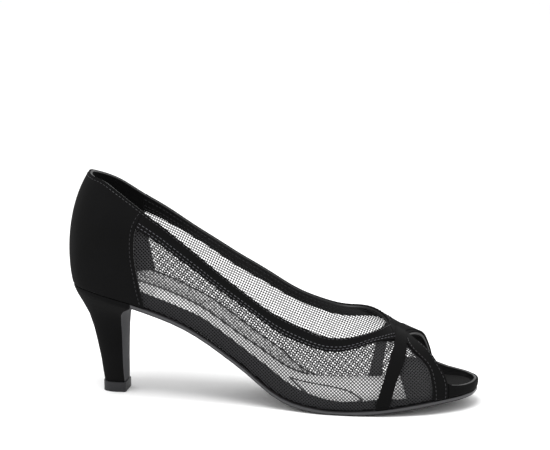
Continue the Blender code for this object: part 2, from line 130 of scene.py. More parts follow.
MEDIAL_RIBS = (
    (0.000, 0.000, 0.000, 0.000, 0.000, 0.573, 0.430, 3),
    (0.050, 0.050, 0.050, 0.050, 0.050, 0.583, 0.450, 3),
    (0.110, 0.110, 0.110, 0.110, 0.110, 0.602, 0.476, 3),
    (0.212, 0.200, 0.187, 0.178, 0.176, 0.615, 0.512, 2),
    (0.260, 0.252, 0.246, 0.243, 0.242, 0.610, 0.519, 2),
    (0.320, 0.318, 0.316, 0.315, 0.315, 0.598, 0.510, 2),
    (0.400, 0.400, 0.400, 0.400, 0.400, 0.585, 0.477, 2),
    (0.480, 0.480, 0.480, 0.480, 0.480, 0.550, 0.440, 2),
    (0.555, 0.557, 0.559, 0.560, 0.560, 0.535, 0.430, 2),
    (0.618, 0.625, 0.633, 0.638, 0.640, 0.510, 0.385, 2),
    (0.650, 0.664, 0.678, 0.690, 0.690, 0.445, 0.300, 2),
    (0.676, 0.692, 0.712, 0.734, 0.738, 0.340, 0.160, 4),
    (0.701, 0.7175, 0.741, 0.765, 0.7795, 0.250, 0.000, 2),
    (0.736, 0.7445, 0.7665, 0.7965, 0.806, 0.250, 0.000, 2),
    (0.822, 0.8195, 0.8185, 0.8030, 0.826, 0.250, 0.000, 2),
    (0.858, 0.8555, 0.8505, 0.849, 0.842, 0.250, 0.000, 0),
)
RIBS = {-1: LATERAL_RIBS, 1: MEDIAL_RIBS}
RIB_PIECES = ("counter",) * 3 + ("band",) * 9 + ("rear leg", "window", "front leg", "toe")
COLLAR = ("counter", "band")
CELLS = RIB_COLUMNS.index("cells")
# Numbers of the ribs at the counter's front edge and at the edges of the legs
COUNTER_FRONT = 3
REAR_LEG = (12, 13)
FRONT_LEG = (14, 15)
# Heights of the grid's lines on a rib, and of the stations in a rib's row
LINES = (0.0, 0.05, 0.13, 0.22, 0.34, 0.48, 0.62, 0.75, 0.84, 0.92, 0.97, 1.0)
RIB_HEIGHTS = (0.0, 0.25, 0.50, 0.75, 1.0)
BAND_LINE = 7
RIM_LINE = 3
# Cells of the dressed suede along each side of a cell of the solids
FINE = 3
TOE_COLUMNS = ("foot", "rim", "rim_v", "cells")
TOES = {
    -1: (
        (0.925, 0.9215, 0.820, 1),
        (0.940, 0.940, 0.847, 1),
        (0.957, 0.957, 0.858, 2),
        (0.980, 0.980, 0.858, 2),
        (1.000, 1.000, 0.856, 0),
    ),
    1: (
        (0.873, 0.871, 0.805, 1),
        (0.892, 0.892, 0.832, 2),
        (0.925, 0.925, 0.855, 2),
        (0.956, 0.956, 0.870, 2),
        (0.980, 0.980, 0.864, 2),
        (1.000, 1.000, 0.856, 0),
    ),
}
# Level of the top of the dark margin along the foot, by station
MARGIN = {
    -1: ((0.15, 0.925), (0.24, 0.928), (0.30, 0.920), (0.35, 0.902), (0.45, 0.903),
         (0.50, 0.889), (0.53, 0.902), (0.57, 0.921), (0.63, 0.937), (0.67, 0.944),
         (0.72, 0.936), (0.75, 0.925), (0.95, 0.925)),
    1: ((0.15, 0.975), (0.165, 0.935), (0.19, 0.911), (0.25, 0.905), (0.30, 0.904),
        (0.35, 0.896), (0.40, 0.897), (0.45, 0.908), (0.50, 0.905), (0.54, 0.950),
        (0.58, 0.985), (0.775, 0.985), (0.783, 0.780), (0.95, 0.780)),
}
# Level at the top of the lining over that of the margin
LINED_OVER = 0.004
OVERLAYS = ("counter", "lateral_band", "medial_band", "vamp_straps", "toe_cap")
LINED_TO = {-1: 0.800, 1: 0.600}
# Netting: turn of the threads in degrees, depth as a share of the wall, half the distance of
# the two families in depth, and how far in stations it runs under the suede at its ends
NET_TURN = {-1: 0.0, 1: 22.0}
NET_SHARE = 0.35
NET_SPREAD = 0.08 * MM
NET_UNDER_COUNTER = 0.010
NET_UNDER_LEG = 0.006
NET_OVER_BAND = 2.0 * MM
THREAD_SIDES = 6
# On the sock, by stations: start of the dark toe part on both sides, its end, the label place,
# the run of the dark cord painted as shadow in the joint of sock and medial lining, and the ball
# pad's edges as shares of the sock's width
TOE_SOCK = {-1: 0.824, 1: 0.783}
TOE_SOCK_END = 0.998
LABEL_RUN = (0.215, 0.315)
JOINT_SHADOW_RUN = (0.05, 0.56)
PAD_STATIONS = (0.528, 0.567, 0.600, 0.640, 0.680, 0.713)
PAD_FRONT = (0.640, 0.655, 0.635, 0.580, 0.430, 0.180)
PAD_REAR = (0.640, 0.330, 0.060, 0.035, 0.050, 0.175)
# The upper one of the crossed straps: stations on the ridge, added width, rise
STRAP_RIDGE = (0.800, 0.830)
STRAP_WIDEN = 0.0008
STRAP_PROUD = 0.45 * MM
# Stitch rows: heights on a rib, and shift in stations from an edge
BAND_ROWS = (0.790, 0.835)
BINDING_ROW = 0.925
COLLAR_ROW = 0.965
COUNTER_SHIFT = -0.008
LEG_SHIFT = 0.006
THREAD_LIFT = 0.05 * MM
STITCH_RADIUS = 0.22 * MM
# Slants that tell the heel's breast and the sole's edge from the faces next to them; these faces
# get painted light, a floor reflection on the breast and a highlight on the sole's side
BREAST_SLANT = 0.5
EDGE_SLANT = 0.3
SHARP_ANGLE = math.radians(40)
BEVEL_ANGLE = math.radians(50)
# Camera: turn, rise and range from its aim, which is in the last's own frame
AZIMUTH = math.radians(9.0)
ELEVATION = math.radians(13.0)
RANGE = 1.1
AIM = (0.122, 0.0, 0.064)
LENS = 124.41
SENSOR = 36.0
LOWERED = 64 / 550


# The last's surface
def column(table, names, name):
    """One named column of a table as an array."""
    return np.array([row[names.index(name)] for row in table])


def smooth(xs, ys, x):
    """Smooth curve through table rows; slopes average those of the two neighbours."""
    run = np.diff(xs)
    rise = np.diff(ys) / run
    slope = np.empty(len(xs))
    slope[1:-1] = (rise[:-1] * run[1:] + rise[1:] * run[:-1]) / (run[:-1] + run[1:])
    slope[0] = 1.5 * rise[0] - 0.5 * slope[1]
    slope[-1] = 1.5 * rise[-1] - 0.5 * slope[-2]
    x = np.clip(x, xs[0], xs[-1])
    i = np.clip(np.searchsorted(xs, x, side="right") - 1, 0, len(xs) - 2)
    t = (x - xs[i]) / run[i]
    start = (2 * t ** 3 - 3 * t ** 2 + 1) * ys[i] + (t ** 3 - 2 * t ** 2 + t) * run[i] * slope[i]
    end = (3 * t ** 2 - 2 * t ** 3) * ys[i + 1] + (t ** 3 - t ** 2) * run[i] * slope[i + 1]
    return start + end


STATIONS = column(LAST, LAST_COLUMNS, "station")
LAST_CURVES = {name: column(LAST, LAST_COLUMNS, name) for name in LAST_COLUMNS[1:]}


def last_value(name, station):
    """A column of the last's table at any stations."""
    return smooth(STATIONS, LAST_CURVES[name], station)


def foot(station, side):
    """Points of the last's edge, where upper and sole meet, in the solids' frame."""
    name = SIDES[side]
    return np.stack([
        last_value(name + "_x", station) * LENGTH + SHIFT[0],
        last_value(name + "_y", station) * BALL_HALF * side + SHIFT[1],
        last_value("foot_z", station) * HEEL_HEIGHT], axis=-1)


def skin(station, level, side):
    """Points of the last; level is 1 at the sole's edge and 0 on the ridge."""
    station = np.asarray(station, float)
    base = foot(station, side)
    ridge = np.stack([
        last_value("ridge_x", station) * LENGTH + SHIFT[0],
        last_value("ridge_y", station) * BALL_HALF + SHIFT[1],
        last_value("ridge_z", station) * BACK_HEIGHT], axis=-1)
    angle = (1.0 - np.asarray(level, float)) * math.pi / 2
    across = np.maximum(np.cos(angle), 0.0)
    bulge = np.maximum(np.sin(2 * angle), 0.0) ** SWELL_SPREAD
    swell = last_value(SIDES[side] + "_swell", station) * SWELL * bulge
    reach = base - ridge
    reach[..., 2] = 0.0
    point = ridge + reach * (across ** last_value("round", station))[..., None]
    point += reach / np.linalg.norm(reach, axis=-1)[..., None] * swell[..., None]
    point[..., 2] = base[..., 2] + (ridge[..., 2] - base[..., 2]) * np.sin(angle)
    return point


def outward(station, level, side):
    """Outward directions of the last, kept nearly level at its foot."""
    step = 2.0e-3
    station = np.asarray(station, float)
    level = np.clip(np.asarray(level, float), step, 1.0 - step)
    low = np.clip(station - step, 0.0, 1.0)
    high = np.clip(station + step, 0.0, 1.0)
    along = skin(high, level, side) - skin(low, level, side)
    up = skin(station, level - step, side) - skin(station, level + step, side)
    out = np.cross(along, up) * -side
    out /= np.linalg.norm(out, axis=-1)[..., None]
    out[..., 2] = np.maximum(out[..., 2], -TUCK)
    return out / np.linalg.norm(out, axis=-1)[..., None]


def under_skin(station, level, side, depth):
    """Points at a depth under the last's surface."""
    return skin(station, level, side) - outward(station, level, side) * depth


def place_of_last():
    """Shift from the last's own frame to the solids' frame, read off the outsole."""
    low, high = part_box("outsole")
    stations = np.linspace(SOLE_START, 1.0, 400)
    lateral = last_value("lateral_y", stations).max() * -BALL_HALF - SOLE_REACH
    medial = last_value("medial_y", stations).max() * BALL_HALF + SOLE_REACH
    tip = last_value("medial_x", np.array([1.0]))[0] * LENGTH + SOLE_REACH
    return (high[0] - tip, (low[1] - lateral + high[1] - medial) / 2)


SHIFT = place_of_last()


# The grid of ribs, finer than that of the solids
def rib_line(row, heights):
    """Stations and levels of a rib at heights from 0 at the sole to 1 at its top."""
    get = RIB_COLUMNS.index
    line = np.array([row[get(name)] for name in ("foot", "low", "mid", "band", "top")])
    station = smooth(np.array(RIB_HEIGHTS), line, heights)
    levels = (1.0, row[get("band_v")], row[get("top_v")])
    level = np.interp(heights, (0.0, LINES[BAND_LINE], 1.0), levels)
    return np.stack([station, level], axis=1)


def toe_line(row, heights):
    """Stations and levels on the toe's low wall, 0 at the sole and 1 at its rim."""
    foot_s, rim_s, rim_v = row[:3]
    return np.stack([foot_s + (rim_s - foot_s) * heights, 1.0 + (rim_v - 1.0) * heights], axis=1)


def curve_between(before, here, there, after, t):
    """Point of a smooth curve through four lines of points, between the middle two."""
    return 0.5 * (
        2 * here + (there - before) * t
        + (2 * before - 5 * here + 4 * there - after) * t ** 2
        + (3 * here - before - 3 * there + after) * t ** 3)


def rib_columns(side, heights, fine):
    """Columns of (station, level) from the back to the last rib, with their piece."""
    rows = RIBS[side]
    lines = [rib_line(row, heights) for row in rows]
    columns = []
    for k, row in enumerate(rows[:-1]):
        count = row[CELLS] * fine
        here, there = lines[k], lines[k + 1]
        before = lines[k - 1] if k else lines[1] * np.array([-1.0, 1.0])
        smooth_on = RIB_PIECES[k + 1] in COLLAR
        after = lines[k + 2] if smooth_on else 2 * there - here
        for step in range(count):
            t = step / count
            if RIB_PIECES[k] in COLLAR:
                point = curve_between(before, here, there, after, t)
            else:
                point = here * (1 - t) + there * t
            columns.append((point, RIB_PIECES[k]))
    columns.append((lines[-1], "end"))
    return columns


def toe_columns(side, fine):
    """Columns of the toe's low wall, from the last rib to the tip."""
    heights = np.linspace(0.0, 1.0, RIM_LINE * fine + 1)
    rib_heights = np.interp(heights, np.linspace(0.0, 1.0, RIM_LINE + 1), LINES[:RIM_LINE + 1])
    lines = [rib_line(RIBS[side][-1], rib_heights)]
    lines += [toe_line(row, heights) for row in TOES[side]]
    counts = [1] + [row[TOE_COLUMNS.index("cells")] for row in TOES[side]]
    columns = []
    for here, there, count in zip(lines[:-1], lines[1:], counts):
        for step in range(count * fine):
            t = step / (count * fine)
            columns.append((here * (1 - t) + there * t, "toe"))
    columns.append((lines[-1], "end"))
    return columns


class Grid:
    """Points and cells of the last that the overlays and facings are cut from."""

    def __init__(self):
        self.points = []
        self.lookup = {}
        self.cells = []
        spans = [np.linspace(a, b, FINE, endpoint=False) for a, b in zip(LINES, LINES[1:])]
        heights = np.concatenate(spans + [[1.0]])
        for side in SIDES:
            self.fill(rib_columns(side, heights, FINE), side)
            self.fill(toe_columns(side, FINE), side)
        self.finish()

    def fill(self, columns, side):
        rows = []
        for line, piece in columns:
            points = skin(line[:, 0], line[:, 1], side)
            row = []
            for point in points:
                key = tuple(np.round(point / WELD).astype(int))
                if key not in self.lookup:
                    self.lookup[key] = len(self.points)
                    self.points.append(point)
                row.append(self.lookup[key])
            rows.append(row)
        for i, (line, piece) in enumerate(columns[:-1]):
            for k in range(len(rows[i]) - 1):
                cell = [rows[i][k], rows[i + 1][k], rows[i + 1][k + 1], rows[i][k + 1]]
                cell = list(dict.fromkeys(cell))
                if side > 0:
                    cell.reverse()
                if len(cell) > 2:
                    self.cells.append((cell, self.piece(piece, k // FINE, side)))

    @staticmethod
    def piece(name, line, side):
        """Name of the overlay that a cell belongs to; the netting has none."""
        upper_part = line >= BAND_LINE
        if name == "band":
            return SIDES[side] + "_band" if upper_part else "netting"
        if name == "window":
            return "vamp_straps" if upper_part else "netting"
        if name in ("rear leg", "front leg"):
            return "vamp_straps"
        return {"counter": "counter", "toe": "toe_cap"}[name]

    def finish(self):
        """Outward directions of all points; near the sole they are kept level."""
        self.points = np.array(self.points)
        out = np.zeros_like(self.points)
        for cell, piece in self.cells:
            corners = self.points[cell]
            for i in range(1, len(cell) - 1):
                turn = np.cross(corners[i] - corners[0], corners[i + 1] - corners[0])
                out[cell[0]] += turn
                out[cell[i]] += turn
                out[cell[i + 1]] += turn
        out /= np.linalg.norm(out, axis=1)[:, None]
        out[:, 2] = np.maximum(out[:, 2], -TUCK)
        self.out = out / np.linalg.norm(out, axis=1)[:, None]


def sheet(grid, pieces, outer, inner):
    """Closed shell between two depths under the last's surface, over the named cells."""
    cells = [cell for cell, piece in grid.cells if piece in pieces]
    used = sorted({i for cell in cells for i in cell})
    place = {old: new for new, old in enumerate(used)}
    edges = {}
    for cell in cells:
        for a, b in zip(cell, cell[1:] + cell[:1]):
            if (b, a) in edges:
                del edges[(b, a)]
            else:
                edges[(a, b)] = True
    push = {i: np.zeros(3) for i in used}
    for a, b in edges:
        along = grid.points[b] - grid.points[a]
        along /= np.linalg.norm(along)
        for i in (a, b):
            push[i] += np.cross(grid.out[i], along)
    points = grid.points[used].copy()
    for i, vector in push.items():
        size = np.linalg.norm(vector)
        if size > 1.0e-6:
            points[place[i]] += vector / size * SEAM_INSET
    out = grid.out[used]
    count = len(used)
    verts = np.concatenate([points - out * outer, points - out * inner])
    faces = [[place[i] for i in cell] for cell in cells]
    faces += [[place[i] + count for i in reversed(cell)] for cell in cells]
    faces += [[place[b], place[a], place[a] + count, place[b] + count] for a, b in edges]
    return verts, faces


def slab(rows, flip):
    """Closed slab from rows of points: the first half on one face, the rest on the other."""
    count = len(rows[0])
    half = len(rows) // 2
    order = [*range(half), *range(len(rows) - 1, half - 1, -1)]
    faces = []
    for a, b in zip(order, order[1:] + order[:1]):
        for i in range(count - 1):
            faces.append([a * count + i, a * count + i + 1, b * count + i + 1, b * count + i])
    cap = [row * count for row in order]
    faces += [cap, [corner + count - 1 for corner in cap[::-1]]]
    return np.concatenate(rows), [face[::-1] for face in faces] if flip else faces


def strip(side, stations, high, outer, inner):
    """Closed shell along the foot, from the sole's edge up to a level at each station."""
    rows = []
    for depth in (outer, inner):
        for t in np.linspace(0.0, 1.0, 7):
            rows.append(under_skin(stations, 1.0 - t + high * t, side, depth))
    return slab(rows, side > 0)


# Making of mesh pieces
def placed(name, data):
    """A new object in the scene, at the origin."""
    item = bpy.data.objects.new(name, data)
    bpy.context.scene.collection.objects.link(item)
    return item


def new_piece(name, verts, faces, material):
    """A mesh object at the origin with its material, shaded smooth but for sharp edges."""
    mesh = bpy.data.meshes.new(name)
    mesh.from_pydata([tuple(v) for v in verts], [], faces)
    mesh.validate()
    mesh.update()
    mesh.materials.append(material)
    mesh.shade_smooth()
    mesh.set_sharp_from_angle(angle=SHARP_ANGLE)
    return placed(name, mesh)


def soften(item, width):
    """Rounds the sharp edges of a piece and makes it a plain mesh again."""
    bevel = item.modifiers.new("edges", "BEVEL")
    bevel.width = width
    bevel.segments = 2
    bevel.limit_method = "ANGLE"
    bevel.angle_limit = BEVEL_ANGLE
    bake_modifiers(item)


def bake_modifiers(item):
    graph = bpy.context.evaluated_depsgraph_get()
    mesh = bpy.data.meshes.new_from_object(item.evaluated_get(graph), depsgraph=graph)
    old = item.data
    item.modifiers.clear()
    item.data = mesh
    bpy.data.meshes.remove(old)
    mesh.name = item.name
    mesh.shade_smooth()
    mesh.set_sharp_from_angle(angle=SHARP_ANGLE)


def dressed_copy(node, name, material, width):
    """A copy of a solid's mesh, its corners joined and its sharp edges rounded."""
    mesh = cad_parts[node].data.copy()
    shape = bmesh.new()
    shape.from_mesh(mesh)
    bmesh.ops.remove_doubles(shape, verts=shape.verts, dist=WELD)
    bmesh.ops.join_triangles(
        shape, faces=shape.faces, angle_face_threshold=math.radians(25),
        angle_shape_threshold=math.radians(60))
    shape.to_mesh(mesh)
    shape.free()
    mesh.materials.clear()
    mesh.materials.append(material)
    item = placed(name, mesh)
    soften(item, width)
    return item


def settle(item, slot, *nodes):
    """Ties a finished piece to the root body and hides the solids that it stands for; its slot is
    not used.
    """
    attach(item, "root")
    if nodes:
        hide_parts(*nodes)


# Materials
def linear(text):
    """An sRGB hex colour as linear values."""
    parts = [int(text[i:i + 2], 16) / 255 for i in (1, 3, 5)]
    values = [c / 12.92 if c <= 0.04045 else ((c + 0.055) / 1.055) ** 2.4 for c in parts]
    return (*values, 1.0)


def node(tree, kind, settings=None, inputs=None):
    """A shader or geometry node with its settings, and its inputs as values or links."""
    made = tree.nodes.new(kind)
    for name, value in (settings or {}).items():
        setattr(made, name, value)
    for name, value in (inputs or {}).items():
        if isinstance(value, bpy.types.NodeSocket):
            tree.links.new(value, made.inputs[name])
        else:
            made.inputs[name].default_value = value
    return made


def surface(name, colour, roughness, **sockets):
    """A Principled material with plain values on its own sockets."""
    material = bpy.data.materials.new(name)
    material.use_nodes = True
    shader = material.node_tree.nodes["Principled BSDF"]
    shader.inputs["Base Color"].default_value = colour
    shader.inputs["Roughness"].default_value = roughness
    for key, value in sockets.items():
        shader.inputs[key.replace("_", " ")].default_value = value
    return material, material.node_tree, shader


def multiply(tree, one, other):
    made = node(tree, "ShaderNodeMath", {"operation": "MULTIPLY"}, {0: one, 1: other})
    return made.outputs[0]


def noise(tree, grain, **inputs):
    """A noise pattern in the object's own coordinates, its grain a real length."""
    where = node(tree, "ShaderNodeTexCoord").outputs["Object"]
    return node(tree, "ShaderNodeTexNoise", None, {
        "Vector": where, "Scale": 1 / grain, **inputs}).outputs["Fac"]


def bump(tree, shader, height, strength, distance):
    made = node(tree, "ShaderNodeBump", None, {
        "Strength": strength, "Distance": distance, "Height": height})
    tree.links.new(made.outputs["Normal"], shader.inputs["Normal"])


def mottle(tree, shader, factor, dark, light):
    """Colour between two shades by a pattern."""
    mix = node(tree, "ShaderNodeMix", {"data_type": "RGBA"}, {0: factor, 6: dark, 7: light})
    tree.links.new(mix.outputs[2], shader.inputs["Base Color"])


def suede_material(name, dark, light=linear("#131314")):
    """Microsuede: short nap, matt, a little paler where the nap is brushed the other way."""
    material, tree, shader = surface(
        name, dark, 0.95, Sheen_Weight=0.015, Sheen_Roughness=0.5, Specular_IOR_Level=0.05)
    nap = noise(tree, 0.5 * MM, Detail=3.0, Roughness=0.7)
    brush = noise(tree, 18 * MM, Detail=2.0)
    mottle(tree, shader, multiply(tree, brush, nap), dark, light)
    bump(tree, shader, nap, 0.35, 0.15 * MM)
    return material


def nylon_material(name, colour):
    """Nylon thread: smooth filament, dark, with a fine highlight along it."""
    material, tree, shader = surface(name, colour, 0.42, Specular_IOR_Level=0.3)
    bump(tree, shader, noise(tree, 0.4 * MM, Detail=1.0), 0.3, 0.05 * MM)
    return material


def woven_material(name, dark, light, pitch=0.8 * MM):
    """Plain woven cloth: matt threads crossing at the pitch, with a few darker flecks."""
    material, tree, shader = surface(name, light, 0.9, Specular_IOR_Level=0.1)
    where = node(tree, "ShaderNodeTexCoord").outputs["Object"]
    turned = node(tree, "ShaderNodeMapping", None, {
        "Vector": where, "Rotation": (math.radians(35), math.radians(20), math.radians(45)),
        "Scale": (1 / pitch,) * 3})
    weave = node(tree, "ShaderNodeTexChecker", None, {
        "Vector": turned.outputs[0], "Scale": 1.0, "Color1": (1, 1, 1, 1),
        "Color2": (0, 0, 0, 1)})
    ramp = node(tree, "ShaderNodeMapRange", None, {
        "Value": noise(tree, 1.6 * MM, Detail=2.0), "From Min": 0.62, "From Max": 0.66,
        "To Min": 1.0, "To Max": 0.0})
    shade = node(tree, "ShaderNodeMath", {"operation": "MULTIPLY_ADD"}, {
        0: weave.outputs["Fac"], 1: 0.25, 2: 0.75})
    both = multiply(tree, shade.outputs[0], ramp.outputs["Result"])
    mottle(tree, shader, both, dark, light)
    bump(tree, shader, weave.outputs["Fac"], 0.2, 0.1 * MM)
    return material


def flecked_material(name, dark, light, size):
    """Light lining cloth with scattered dark flecks, as a brushed knit shows through mesh."""
    material, tree, shader = surface(name, light, 0.85, Specular_IOR_Level=0.2)
    fleck = noise(tree, size, Detail=2.0, Roughness=0.6)
    share = node(tree, "ShaderNodeMapRange", None, {
        "Value": fleck, "From Min": 0.53, "From Max": 0.57, "To Min": 1.0, "To Max": 0.0})
    mottle(tree, shader, share.outputs["Result"], dark, light)
    bump(tree, shader, fleck, 0.2, 0.1 * MM)
    return material


def moulded_material(name, dark, light, roughness, grain, gloss):
    """Moulded rubber or smooth cover: fine even grain, slight unevenness."""
    material, tree, shader = surface(name, dark, roughness, Specular_IOR_Level=gloss)
    pores = noise(tree, grain, Detail=3.0)
    mottle(tree, shader, pores, dark, light)
    bump(tree, shader, pores, 0.25, 0.08 * MM)
    return material


# Geometry Nodes
def apply_tree(item, tree, values):
    """Runs a node tree on an object and keeps its result as a plain mesh."""
    modifier = item.modifiers.new("work", "NODES")
    modifier.node_group = tree
    for socket in tree.interface.items_tree:
        if socket.item_type == "SOCKET" and socket.name in values:
            modifier[socket.identifier] = values[socket.name]
    bake_modifiers(item)


def new_tree(name, inputs):
    tree = bpy.data.node_groups.new(name, "GeometryNodeTree")
    tree.interface.new_socket("Geometry", in_out="INPUT", socket_type="NodeSocketGeometry")
    for label, kind, value in inputs:
        socket = tree.interface.new_socket(label, in_out="INPUT", socket_type=kind)
        if value is not None:
            socket.default_value = value
    tree.interface.new_socket("Geometry", in_out="OUTPUT", socket_type="NodeSocketGeometry")
    return tree, node(tree, "NodeGroupInput")


def finish_tree(tree, geometry, material_socket):
    real = node(tree, "GeometryNodeRealizeInstances", None, {"Geometry": geometry})
    cover = node(tree, "GeometryNodeSetMaterial", None, {
        "Geometry": real.outputs[0], "Material": material_socket})
    node(tree, "NodeGroupOutput", None, {0: cover.outputs[0]})


def thread_tree():
    """Threads: each chain of edges becomes a thread of a few sides."""
    tree, given = new_tree("netting threads", [
        ("Radius", "NodeSocketFloat", 0.00018), ("Sides", "NodeSocketInt", 4),
        ("Material", "NodeSocketMaterial", None)])
    lines = node(tree, "GeometryNodeMeshToCurve", None, {"Mesh": given.outputs["Geometry"]})
    section = node(tree, "GeometryNodeCurvePrimitiveCircle", None, {
        "Resolution": given.outputs["Sides"], "Radius": given.outputs["Radius"]})
    tubes = node(tree, "GeometryNodeCurveToMesh", None, {
        "Curve": lines.outputs[0], "Profile Curve": section.outputs[0], "Fill Caps": True})
    finish_tree(tree, tubes.outputs[0], given.outputs["Material"])
    return tree


def stitch_tree():
    """Stitches: short capsules set along each chain of edges at an even spacing."""
    tree, given = new_tree("stitch rows", [
        ("Spacing", "NodeSocketFloat", 0.0025), ("Stitch", "NodeSocketFloat", 0.0018),
        ("Radius", "NodeSocketFloat", 0.0002), ("Material", "NodeSocketMaterial", None)])
    lines = node(tree, "GeometryNodeMeshToCurve", None, {"Mesh": given.outputs["Geometry"]})
    spots = node(tree, "GeometryNodeCurveToPoints", {"mode": "LENGTH"}, {
        "Curve": lines.outputs[0], "Length": given.outputs["Spacing"]})
    turn = node(tree, "FunctionNodeAlignRotationToVector", {"axis": "Z"}, {
        "Vector": spots.outputs["Tangent"]})
    bead = node(tree, "GeometryNodeMeshUVSphere", None, {
        "Segments": 6, "Rings": 4, "Radius": 1.0})
    radius = given.outputs["Radius"]
    size = node(tree, "ShaderNodeCombineXYZ", None, {
        "X": radius, "Y": radius, "Z": multiply(tree, given.outputs["Stitch"], 0.5)})
    placed = node(tree, "GeometryNodeInstanceOnPoints", None, {
        "Points": spots.outputs["Points"], "Instance": bead.outputs["Mesh"],
        "Rotation": turn.outputs[0], "Scale": size.outputs[0]})
    finish_tree(tree, placed.outputs[0], given.outputs["Material"])
    return tree


def thread(item, radius, material):
    """Gives the chains of a piece the body of a thread."""
    apply_tree(item, thread_tree(), {
        "Radius": radius, "Sides": THREAD_SIDES, "Material": material})


def chains(name, lines):
    """A mesh of loose edge chains, the input of the node trees."""
    verts, edges = [], []
    for line in lines:
        start = len(verts)
        verts += [tuple(p) for p in line]
        edges += [(start + i, start + i + 1) for i in range(len(line) - 1)]
    mesh = bpy.data.meshes.new(name)
    mesh.from_pydata(verts, edges, [])
    return placed(name, mesh)


# Sizes and colours that a user would change
class PumpSizes(bpy.types.PropertyGroup):
    """Sizes of the visible work on the shoe."""
    net_pitch: bpy.props.FloatProperty(
        name="Net pitch", description="Distance between parallel threads",
        default=1.45 * MM, unit="LENGTH")
    net_thread: bpy.props.FloatProperty(
        name="Net thread", description="Width of a thread", default=0.52 * MM, unit="LENGTH")
    stitch_spacing: bpy.props.FloatProperty(
        name="Stitch spacing", description="Distance from stitch to stitch",
        default=2.4 * MM, unit="LENGTH")
    stitch_length: bpy.props.FloatProperty(
        name="Stitch length", description="Length of the thread that shows",
        default=1.7 * MM, unit="LENGTH")
    edge_round: bpy.props.FloatProperty(
        name="Edge round", description="Rounding of a folded suede edge",
        default=0.3 * MM, unit="LENGTH")


class PumpColours(bpy.types.PropertyGroup):
    """Colours of the materials."""
    suede: bpy.props.FloatVectorProperty(
        name="Suede", description="Black suede", subtype="COLOR", size=4,
        default=linear("#0a0a0a"))
    net: bpy.props.FloatVectorProperty(
        name="Netting", description="Black nylon thread", subtype="COLOR", size=4,
        default=linear("#242426"))
    lining: bpy.props.FloatVectorProperty(
        name="Lining", description="Light grey lining and sock", subtype="COLOR", size=4,
        default=linear("#eeeeee"))
    stitch: bpy.props.FloatVectorProperty(
        name="Stitches", description="Grey sewing thread", subtype="COLOR", size=4,
        default=linear("#48484c"))


def sizes():
    return bpy.context.scene.pump_sizes


def colours():
    return bpy.context.scene.pump_colours


# Netting
def side_metric(side):
    """Tables for laying a flat net on one side, its threads slanting alike all along.

    Gives for each station the place along the shoe, the height of the foot's edge and the
    length up the wall to each level."""
    stations = np.linspace(0.10, 0.97, 220)
    levels = np.linspace(1.0, 0.12, 60)
    grid = skin(stations[:, None], levels[None, :], side)
    up = np.linalg.norm(np.diff(grid, axis=1), axis=2)
    up = np.concatenate([np.zeros((len(stations), 1)), np.cumsum(up, axis=1)], axis=1)
    along = skin(stations, np.full(len(stations), 0.80), side)[:, 0]
    return stations, levels, along, foot(stations, side)[:, 2], up


def net_lines(side, pitch):
    """Threads of both families on one side, as chains of points where they cross."""
    stations, levels, along, base, up = side_metric(side)
    rows = RIBS[side]
    heights = np.linspace(0.0, LINES[BAND_LINE], 20)
    rear = rib_line(rows[COUNTER_FRONT], heights)
    front = rib_line(rows[-1], heights)
    band_s = column(rows, RIB_COLUMNS, "band")
    band_v = column(rows, RIB_COLUMNS, "band_v")
    low_end = along.min()
    high_end = along.max()
    tall = (base[:, None] + up).max()
    root = math.sqrt(2.0)
    spare = 0.08
    first = int((low_end - tall - spare) / root / pitch)
    last = int((high_end + tall + spare) / root / pitch)
    numbers = np.arange(first, last + 1) * pitch
    a, b = np.meshgrid(numbers, numbers, indexing="ij")
    turn = math.radians(NET_TURN[side])
    u = ((a + b) * math.cos(turn) - (a - b) * math.sin(turn)) / root
    v = ((a + b) * math.sin(turn) + (a - b) * math.cos(turn)) / root
    station = np.interp(u, along, stations)
    index = np.clip(np.searchsorted(stations, station) - 1, 0, len(stations) - 2)
    share = (station - stations[index]) / (stations[index + 1] - stations[index])
    level = np.empty_like(v)
    height_up = v - np.interp(u, along, base)
    for (i, j), height in np.ndenumerate(height_up):
        k = index[i, j]
        line = up[k] * (1 - share[i, j]) + up[k + 1] * share[i, j]
        level[i, j] = np.interp(height, line, levels)
    lift = NET_OVER_BAND / np.maximum(up[index, -1], NET_OVER_BAND)
    inside = (u > low_end) & (u < high_end) & (height_up > 0.0)
    inside &= level > np.interp(station, band_s, band_v) - lift
    inside &= station > np.interp(-level, -rear[:, 1], rear[:, 0]) - NET_UNDER_COUNTER
    inside &= station < np.interp(-level, -front[:, 1], front[:, 0]) - NET_UNDER_LEG
    lines = []
    for crossing, offset in ((False, -NET_SPREAD), (True, NET_SPREAD)):
        points = under_skin(station, level, side, MESH_DEPTH + NETTING * NET_SHARE + offset)
        keep = inside
        if crossing:
            points = points.transpose(1, 0, 2)
            keep = inside.T
        for row, use in zip(points, keep):
            spots = np.flatnonzero(use)
            runs = np.split(spots, np.flatnonzero(np.diff(spots) > 1) + 1)
            lines += [row[run] for run in runs if len(run) > 1]
    return lines


class PUMP_OT_netting(bpy.types.Operator):
    """Makes the netting of both sides from real threads"""
    bl_idname = "pump.netting"
    bl_label = "Netting"

    def execute(self, context):
        nylon = nylon_material("Nylon netting thread", tuple(colours().net))
        for side, label in SIDES.items():
            item = chains("netting_" + label, net_lines(side, sizes().net_pitch))
            thread(item, sizes().net_thread / 2, nylon)
            settle(item, "netting", "upper")
        return {"FINISHED"}


